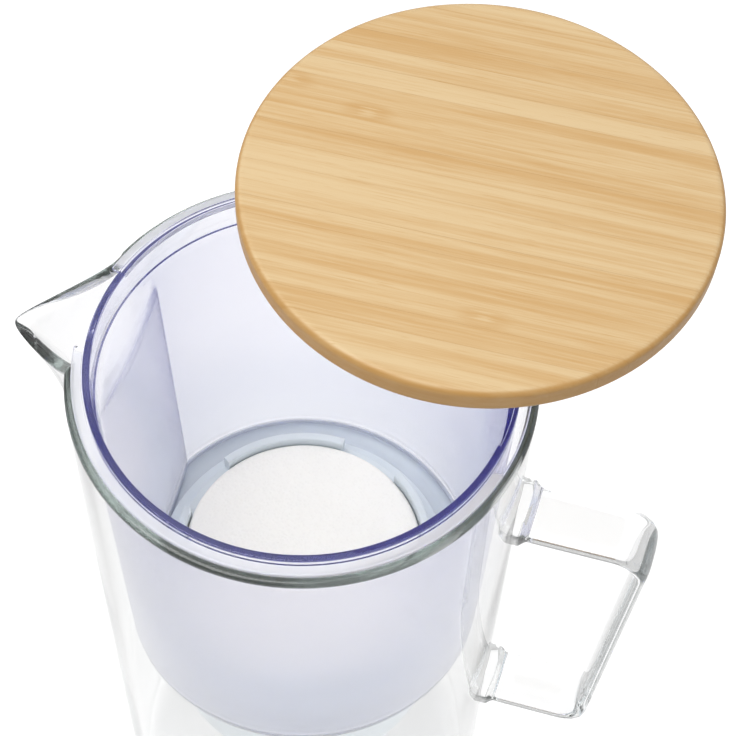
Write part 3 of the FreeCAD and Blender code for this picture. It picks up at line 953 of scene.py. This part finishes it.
def strainer_tree(sizes, material):
    """Geometry nodes for the cap: rings of holes cut in the drum's top, and raised arcs round its edge."""
    group = bpy.data.node_groups.new("strainer_cap", "GeometryNodeTree")
    group.interface.new_socket("Geometry", in_out="OUTPUT", socket_type="NodeSocketGeometry")
    group.interface.new_socket("Drum", in_out="INPUT", socket_type="NodeSocketGeometry")
    top = cap_low.z + sizes.drum_rise
    defaults = {
        "Drum Radius": sizes.drum_radius,
        "Drum Top": top,
        "Plate Thickness": sizes.plate_thickness,
        "Collar Height": cap_high.z - top + sizes.plate_thickness / 2,
        "Collar Width": sizes.collar_width,
        "Collar Round": sizes.collar_round,
        "Collar Arc": sizes.collar_arc,
        "Collar Phase": sizes.collar_phase,
        "Hole Radius": sizes.hole_radius,
        "Hole Pitch": sizes.hole_pitch,
    }
    identifiers = {}
    for name in defaults:
        item = group.interface.new_socket(name, in_out="INPUT", socket_type="NodeSocketFloat")
        identifiers[name] = item.identifier
    tree = Tree(group)
    entry = group.nodes.new("NodeGroupInput")
    drum = Socket(tree, entry.outputs["Drum"])
    value = {name: Socket(tree, entry.outputs[name]) for name in defaults}
    hole_sizes = {"Vertices": 20, "Radius": value["Hole Radius"], "Depth": value["Plate Thickness"] * 4}
    hole = tree.node("GeometryNodeMeshCylinder", {}, hole_sizes)
    rings = []
    for ring in range(1, sizes.hole_rings + 1):
        circle = {"Resolution": 6 * ring, "Radius": value["Hole Pitch"] * ring}
        points = tree.node("GeometryNodeCurvePrimitiveCircle", {}, circle)
        rings.append(tree.node("GeometryNodeInstanceOnPoints", {}, {"Points": points, "Instance": hole}))
    holes = tree.node("GeometryNodeJoinGeometry", {}, {0: rings})
    lift = tree.node("ShaderNodeCombineXYZ", {}, {"Z": value["Drum Top"] - value["Plate Thickness"] / 2})
    holes = tree.node("GeometryNodeTransform", {}, {"Geometry": holes, "Translation": lift})
    holes = tree.node("GeometryNodeRealizeInstances", {}, {0: holes})
    cut = {"operation": "DIFFERENCE", "solver": "EXACT"}
    sieve = tree.node("GeometryNodeMeshBoolean", cut, {"Mesh 1": drum, "Mesh 2": holes})
    frame_sizes = {"Width": value["Collar Width"], "Height": value["Collar Height"]}
    section = tree.node("GeometryNodeCurvePrimitiveQuadrilateral", {}, frame_sizes)
    fillet = {"Curve": section, "Radius": value["Collar Round"], "Count": 4}
    section = tree.node("GeometryNodeFilletCurve", {"mode": "POLY"}, fillet)
    arc_sizes = {
        "Resolution": 40,
        "Radius": value["Drum Radius"] - value["Collar Width"] / 2 - FINE,
        "Start Angle": value["Collar Arc"] * -0.5,
        "Sweep Angle": value["Collar Arc"],
    }
    arc = tree.node("GeometryNodeCurveArc", {}, arc_sizes)
    sweep = {"Curve": arc, "Profile Curve": section, "Fill Caps": True}
    collar = tree.node("GeometryNodeCurveToMesh", {}, sweep)
    stations = tree.node("GeometryNodePoints", {}, {"Count": sizes.collar_count})
    index = tree.node("GeometryNodeInputIndex")
    turn = index * (2 * math.pi / sizes.collar_count) + value["Collar Phase"]
    spin = tree.node("ShaderNodeCombineXYZ", {}, {"Z": turn})
    spread = {"Points": stations, "Instance": collar, "Rotation": spin}
    collars = tree.node("GeometryNodeInstanceOnPoints", {}, spread)
    middle = value["Drum Top"] - value["Plate Thickness"] / 2 + value["Collar Height"] / 2
    rise = tree.node("ShaderNodeCombineXYZ", {}, {"Z": middle})
    collars = tree.node("GeometryNodeTransform", {}, {"Geometry": collars, "Translation": rise})
    collars = tree.node("GeometryNodeRealizeInstances", {}, {0: collars})
    join = {"operation": "UNION", "solver": "EXACT"}
    whole = tree.node("GeometryNodeMeshBoolean", join, {"Mesh 2": [sieve, collars]})
    whole = tree.node("GeometryNodeRealizeInstances", {}, {0: whole})
    whole = tree.node("GeometryNodeSetMaterial", {}, {"Geometry": whole, "Material": material})
    tree.node("NodeGroupOutput", {}, {0: whole})
    return group, {identifiers[name]: default for name, default in defaults.items()}


def grown_mesh(name, start, group, values):
    """Plain mesh from a starting mesh and a geometry node tree, with its inputs set by identifier."""
    seed = bpy.data.objects.new(name + "_seed", start)
    bpy.context.scene.collection.objects.link(seed)
    modifier = seed.modifiers.new(name, "NODES")
    modifier.node_group = group
    for identifier, value in values.items():
        modifier[identifier] = value
    depsgraph = bpy.context.evaluated_depsgraph_get()
    mesh = bpy.data.meshes.new_from_object(seed.evaluated_get(depsgraph))
    bpy.data.objects.remove(seed)
    mesh.name = name
    return mesh


# Pad and lid
def pad_rows(sizes, edge_steps=9, dome_steps=90, dimple_onset=6):
    """Grid of the foam pad: drawn in at its foot, soft at its edge, domed and finely dimpled on top."""
    brow = sizes.radius - sizes.draw_in
    edge_top = pad_low.z + sizes.edge
    crown = pad_high.z - edge_top
    foot = rounded_line([(0, pad_low.z, 0), (brow, pad_low.z, 0)], run=0.006)
    turn = np.linspace(-1, 1, edge_steps)[1:]
    edge = np.stack([
        brow + sizes.draw_in * np.sqrt(1 - turn ** 2),
        pad_low.z + sizes.edge * (turn + 1) / 2,
    ], axis=1)
    inward = np.linspace(1, 0, dome_steps)[1:]
    dome = np.stack([brow * inward, edge_top + crown * (1 - inward ** 2)], axis=1)
    outline = np.concatenate([foot, edge, dome])
    turns = even_turns(240)
    rows = turned_rows(outline[:, 0], outline[:, 1], turns)
    phase = 2 * math.pi / sizes.cell
    x, y = rows[:, :, 0] * phase, rows[:, :, 1] * phase
    wobble = np.sin(x + 2 * np.sin(y * 0.41)) * np.sin(y + 2 * np.sin(x * 0.37))
    on_top = np.clip((rows[:, :, 2] - edge_top) / crown * dimple_onset, 0, 1)
    rows[:, :, 2] -= sizes.dimple * (1 + wobble) / 2 * on_top
    return rows


def around_lid(rows):
    """Moves a turned grid to the lid's axis."""
    return rows + np.array([lid_centre.x, lid_centre.y, 0])


def lid_turned(name, corners, run=0.006, count=240):
    """Turned piece of the lid from an outline that starts and ends on its axis."""
    outline = rounded_line(corners, run=run)
    return grid_mesh(name, around_lid(turned_rows(outline[:, 0], outline[:, 1], even_turns(count))))


# Operators
class PITCHER_OT_glass_jug(bpy.types.Operator):
    """Builds the glass jug with its drawn spout."""

    bl_idname = "pitcher.glass_jug"
    bl_label = "Glass Jug"

    def execute(self, context):
        glass = clear_glass(context.scene.pitcher_finishes)
        mesh = grid_mesh("jug_glass", jug_rows(context.scene.pitcher_jug))
        new_piece("jug_glass", mesh, glass, "jug", "clear_glass", "glass_jug")
        return {"FINISHED"}


class PITCHER_OT_glass_handle(bpy.types.Operator):
    """Builds the bent glass strip with its two weld pads."""

    bl_idname = "pitcher.glass_handle"
    bl_label = "Glass Handle"

    def execute(self, context):
        rows = handle_rows(context.scene.pitcher_jug, context.scene.pitcher_handle)
        mesh = grid_mesh("handle_glass", rows)
        glass = bpy.data.objects["jug_glass"].active_material
        new_piece("handle_glass", mesh, glass, "jug", "clear_glass", "glass_handle")
        return {"FINISHED"}


class PITCHER_OT_funnel(bpy.types.Operator):
    """Builds the tinted funnel with its ring, flange and flute."""

    bl_idname = "pitcher.funnel"
    bl_label = "Funnel"

    def execute(self, context):
        jug, sizes = context.scene.pitcher_jug, context.scene.pitcher_funnel
        plastic = tinted_plastic(context.scene.pitcher_finishes, jug, sizes)
        rows = funnel_rows(jug, sizes)
        mesh = grid_mesh("funnel_shell", rows, joined=True)
        new_piece("funnel_shell", mesh, plastic, "funnel", "tinted_plastic", "funnel")
        return {"FINISHED"}


class PITCHER_OT_cartridge(bpy.types.Operator):
    """Builds the cartridge's strainer cap and finishes its shell, seal and filter layers."""

    bl_idname = "pitcher.cartridge"
    bl_label = "Cartridge"

    def execute(self, context):
        finishes = context.scene.pitcher_finishes
        plastic = moulded_plastic("cartridge_plastic", finishes.cap_colour, roughness=0.34)
        sizes = context.scene.pitcher_cartridge
        outline = drum_outline(sizes)
        drum = grid_mesh("strainer_drum", turned_rows(outline[:, 0], outline[:, 1], even_turns(180)))
        group, values = strainer_tree(sizes, plastic)
        mesh = grown_mesh("strainer_cap", drum, group, values)
        tidy_mesh(mesh)
        new_piece("strainer_cap", mesh, plastic, "cartridge", "cartridge_plastic", "cartridge_cap")
        finish_node("cartridge_shell", plastic)
        silicone = moulded_plastic("silicone", finishes.silicone_colour, roughness=0.42)
        finish_node("cartridge_seal", silicone)
        fleece = soft_white("fleece", finishes.fleece_colour, cell_scale=1400.0, depth=0.0001)
        for name in ("top_fleece", "upper_fleece", "lower_fleece", "bottom_fleece"):
            finish_node(name, fleece)
        carbon = grains("carbon", finishes.carbon_colour, scale=900.0, roughness=0.5)
        mineral = grains("mineral", finishes.mineral_colour, scale=650.0, roughness=0.7)
        resin = grains("resin", finishes.resin_colour, scale=1300.0, roughness=0.25)
        finish_node("carbon_bed", carbon)
        finish_node("mineral_bed", mineral)
        finish_node("resin_bed", resin)
        return {"FINISHED"}


class PITCHER_OT_filter_pad(bpy.types.Operator):
    """Builds the domed foam pad."""

    bl_idname = "pitcher.filter_pad"
    bl_label = "Filter Pad"

    def execute(self, context):
        white = context.scene.pitcher_finishes.foam_colour
        foam = soft_white("foam", white, cell_scale=950.0, depth=0.00012)
        mesh = grid_mesh("foam_pad", pad_rows(context.scene.pitcher_pad))
        pad = new_piece("foam_pad", mesh, foam, "filter_pad", "foam", "filter_pad")
        return {"FINISHED"}


class PITCHER_OT_lid(bpy.types.Operator):
    """Builds the bamboo board with its plug and gasket."""

    bl_idname = "pitcher.lid"
    bl_label = "Lid"

    def execute(self, context):
        finishes = context.scene.pitcher_finishes
        sizes = context.scene.pitcher_lid
        wood = bamboo(finishes, sizes)
        low, high = board_low.z, board_high.z
        gasket_outer = (gasket_high.x - gasket_low.x) / 2
        gasket_inner = gasket_outer - sizes.gasket_width
        groove = low + sizes.gasket_groove
        board = lid_turned("bamboo_board", [
            (0, low, 0),
            (gasket_inner - FINE, low, 0),
            (gasket_inner - FINE, groove, 0),
            (gasket_outer + FINE, groove, 0),
            (gasket_outer + FINE, low, 0),
            (sizes.radius, low, sizes.edge_round),
            (sizes.radius, high, sizes.edge_round),
            (0, high, 0),
        ])
        new_piece("bamboo_board", board, wood, "lid", "bamboo", "lid_board")
        plug_radius = (plug_high.x - plug_low.x) / 2
        plug = lid_turned("bamboo_plug", [
            (0, plug_low.z, 0),
            (plug_radius * sizes.plug_foot_share, plug_low.z, sizes.plug_round),
            (plug_radius, plug_high.z, 0),
            (0, plug_high.z, 0),
        ])
        new_piece("bamboo_plug", plug, wood, "lid", "bamboo", "lid_plug")
        lip = sizes.gasket_width / 4
        outline = rounded_line([
            (gasket_inner, gasket_high.z, 0),
            (gasket_inner, gasket_low.z, lip),
            (gasket_outer, gasket_low.z, lip),
            (gasket_outer, gasket_high.z, 0),
        ])
        rows = around_lid(turned_rows(outline[:, 0], outline[:, 1], even_turns(240)))
        mesh = grid_mesh("soft_gasket", rows, joined=True)
        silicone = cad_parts["cartridge_seal"].active_material
        new_piece("soft_gasket", mesh, silicone, "lid", "silicone", "lid_gasket")
        return {"FINISHED"}


class PITCHER_OT_stage(bpy.types.Operator):
    """Sets the floor, the sky, the softboxes and the camera."""

    bl_idname = "pitcher.stage"
    bl_label = "Stage"

    def execute(self, context):
        settings = context.scene.pitcher_stage
        self.floor(context, settings)
        self.sky(context, settings)
        self.softbox(context, "key", settings.key_place, settings.key_size, settings.key_power)
        self.softbox(context, "overhead", settings.top_place, settings.top_size, settings.top_power)
        self.camera(context, settings)
        context.scene.view_settings.view_transform = "Standard"
        cycles = context.scene.cycles
        cycles.max_bounces = settings.bounces
        cycles.transmission_bounces = settings.bounces
        cycles.glossy_bounces = settings.bounces
        cycles.blur_glossy = 0
        return {"FINISHED"}

    def seen(self, tree):
        """Masks of the camera's rays and of those that gloss and glass send on, and turns and passes."""
        path = tree.tree.nodes.new("ShaderNodeLightPath")
        kinds = ("Is Camera Ray", "Is Glossy Ray", "Is Transmission Ray")
        depths = ("Glossy Depth", "Transmission Depth")
        camera, glossy, through, turns, passes = [
            Socket(tree, path.outputs[name]) for name in kinds + depths
        ]
        sent_on = tree.node("ShaderNodeMath", {"operation": "MINIMUM"}, {0: glossy + through, 1: 1.0})
        return camera, sent_on, (turns, passes)

    def dimming(self, tree, settings, history, vector):
        """How bright light is that turned inside the glass, as if a studio's dark walls dimmed it."""
        turns, passes = history
        at_edge = (turns > 0.5) * (passes > 0.5) * (1 - (passes > 2.5))
        guided = tree.step(turns, *GUIDED_TURNS)
        _, along, _ = tree.split(vector)
        left = tree.step(tree.dot(vector, GUIDED_LEFT), *GUIDED_LEFT_EDGE)
        near_left = left * (1 - tree.step(along, *GUIDED_NEAR_EDGE))
        loss = (1 - settings.guided_level) + near_left * (settings.guided_level - settings.guided_dark)
        return (1 - at_edge * (1 - settings.turned_level)) * (1 - guided * loss)

    def floor(self, context, settings):
        """White floor, which shows as white and keeps a soft shadow. As gloss and glass show it, its glow has
        a painted shadow under the jug and painted shade on the left.
        """
        half = settings.floor_size / 2
        mesh = bpy.data.meshes.new("floor")
        corners = [(-half, -half), (half, -half), (half, half), (-half, half)]
        mesh.from_pydata([(x, y, -FINE) for x, y in corners], [], [(0, 1, 2, 3)])
        floor = bpy.data.objects.new("floor", mesh)
        context.scene.collection.objects.link(floor)
        material, tree = new_material("floor")
        camera, sent_on, history = self.seen(tree)
        here = tree.place()
        aside, _, _ = tree.split(here)
        # Painted shadow under the jug and painted shade on the left, in the floor's glow as gloss and glass
        # show it
        under = 1 - tree.step(tree.reach(here), *[jug_high.y * part for part in BASE_SHADE_EDGE])
        left = 1 - tree.step(aside, *LEFT_SHADE_EDGE)
        dim = self.dimming(tree, settings, history, here)
        painted_shade_through_glass = (1 - under * settings.base_shade) * (1 - left * settings.left_shade) * dim
        glow = camera * settings.floor_glow + sent_on * painted_shade_through_glass * settings.glass_glow
        shade = tree.mix(dim, BLACK, grey(settings.floor_shade))
        lit = tree.node("ShaderNodeBsdfDiffuse", {}, {"Color": shade})
        white = tree.node("ShaderNodeEmission", {}, {"Color": WHITE, "Strength": glow})
        tree.surface(tree.node("ShaderNodeAddShader", {}, {0: lit, 1: white}))
        mesh.materials.append(material)

    def sky(self, context, settings):
        """Even light from all round. Gloss and glass see white, a grey horizon and a dark screen."""
        world = bpy.data.worlds.new("studio")
        world.use_nodes = True
        context.scene.world = world
        tree = Tree(world.node_tree)
        camera, sent_on, history = self.seen(tree)
        direction = tree.node("ShaderNodeTexCoord", output="Generated")
        _, _, up = tree.split(direction)
        facing = (math.cos(settings.screen_azimuth), math.sin(settings.screen_azimuth), 0)
        beside = tree.step(tree.dot(direction, facing), *SCREEN_SIDE)
        horizon = tree.band(up, HORIZON_RISE, HORIZON_FALL) * settings.horizon_shade
        screen = tree.band(up, SCREEN_RISE, SCREEN_FALL) * beside
        dark = grey(settings.screen_level)
        shown = tree.mix(horizon, WHITE, dark)
        shown = tree.mix(screen, shown, dark)
        shown = tree.mix(self.dimming(tree, settings, history, direction), BLACK, shown)
        shown = tree.mix(sent_on, grey(settings.sky_level), shown)
        shown = tree.mix(camera, shown, WHITE)
        background = tree.node("ShaderNodeBackground", {}, {"Color": shown, "Strength": 1.0})
        tree.node("ShaderNodeOutputWorld", {}, {"Surface": background})

    def softbox(self, context, name, place, size, power):
        """Square lamp that shines on the jug's mouth."""
        light = bpy.data.lights.new(name, "AREA")
        light.energy = power
        light.size = size
        lamp = bpy.data.objects.new(name, light)
        lamp.location = place
        mouth = Vector((0, 0, jug_high.z))
        lamp.rotation_euler = (mouth - lamp.location).to_track_quat("-Z", "Y").to_euler()
        context.scene.collection.objects.link(lamp)

    def camera(self, context, settings):
        """Camera at the photograph's viewing angle."""
        data = bpy.data.cameras.new("camera")
        data.lens = settings.camera_lens
        data.sensor_width = 36.0
        data.clip_start = 0.01
        camera = bpy.data.objects.new("camera", data)
        turn = (
            Matrix.Rotation(settings.camera_azimuth, 4, "Z")
            @ Matrix.Rotation(math.pi / 2 - settings.camera_elevation, 4, "X")
            @ Matrix.Rotation(settings.camera_roll, 4, "Z")
        )
        camera.matrix_world = Matrix.Translation(settings.camera_place) @ turn
        context.scene.collection.objects.link(camera)
        context.scene.camera = camera


OPERATORS = (
    PITCHER_OT_glass_jug,
    PITCHER_OT_glass_handle,
    PITCHER_OT_funnel,
    PITCHER_OT_cartridge,
    PITCHER_OT_filter_pad,
    PITCHER_OT_lid,
    PITCHER_OT_stage,
)
SETTINGS = {
    "pitcher_jug": JugSizes,
    "pitcher_handle": HandleSizes,
    "pitcher_funnel": FunnelSizes,
    "pitcher_cartridge": CartridgeSizes,
    "pitcher_pad": PadSizes,
    "pitcher_lid": LidSizes,
    "pitcher_finishes": Finishes,
    "pitcher_stage": StageSettings,
}


class PITCHER_PT_panel(bpy.types.Panel):
    """Lists the steps that build the pitcher."""

    bl_idname = "PITCHER_PT_panel"
    bl_label = "Glass Filter Pitcher"
    bl_space_type = "VIEW_3D"
    bl_region_type = "UI"
    bl_category = "Pitcher"

    def draw(self, context):
        for operator in OPERATORS:
            self.layout.operator(operator.bl_idname)
        for name, group in SETTINGS.items():
            box = self.layout.box()
            box.label(text=group.__doc__)
            for setting in group.__annotations__:
                box.prop(getattr(context.scene, name), setting)


def register():
    """Adds the settings, the operators and the panel."""
    for group in SETTINGS.values():
        bpy.utils.register_class(group)
    for name, group in SETTINGS.items():
        setattr(bpy.types.Scene, name, PointerProperty(type=group))
    for operator in OPERATORS:
        bpy.utils.register_class(operator)
    bpy.utils.register_class(PITCHER_PT_panel)


def unregister():
    """Takes the panel, the operators and the settings away again."""
    bpy.utils.unregister_class(PITCHER_PT_panel)
    for operator in reversed(OPERATORS):
        bpy.utils.unregister_class(operator)
    for name in SETTINGS:
        delattr(bpy.types.Scene, name)
    for group in reversed(SETTINGS.values()):
        bpy.utils.unregister_class(group)


def main():
    """Builds every piece and the stage."""
    register()
    bpy.ops.pitcher.glass_jug()
    bpy.ops.pitcher.glass_handle()
    bpy.ops.pitcher.funnel()
    bpy.ops.pitcher.cartridge()
    bpy.ops.pitcher.filter_pad()
    bpy.ops.pitcher.lid()
    bpy.ops.pitcher.stage()


if __name__ == "__main__":
    main()
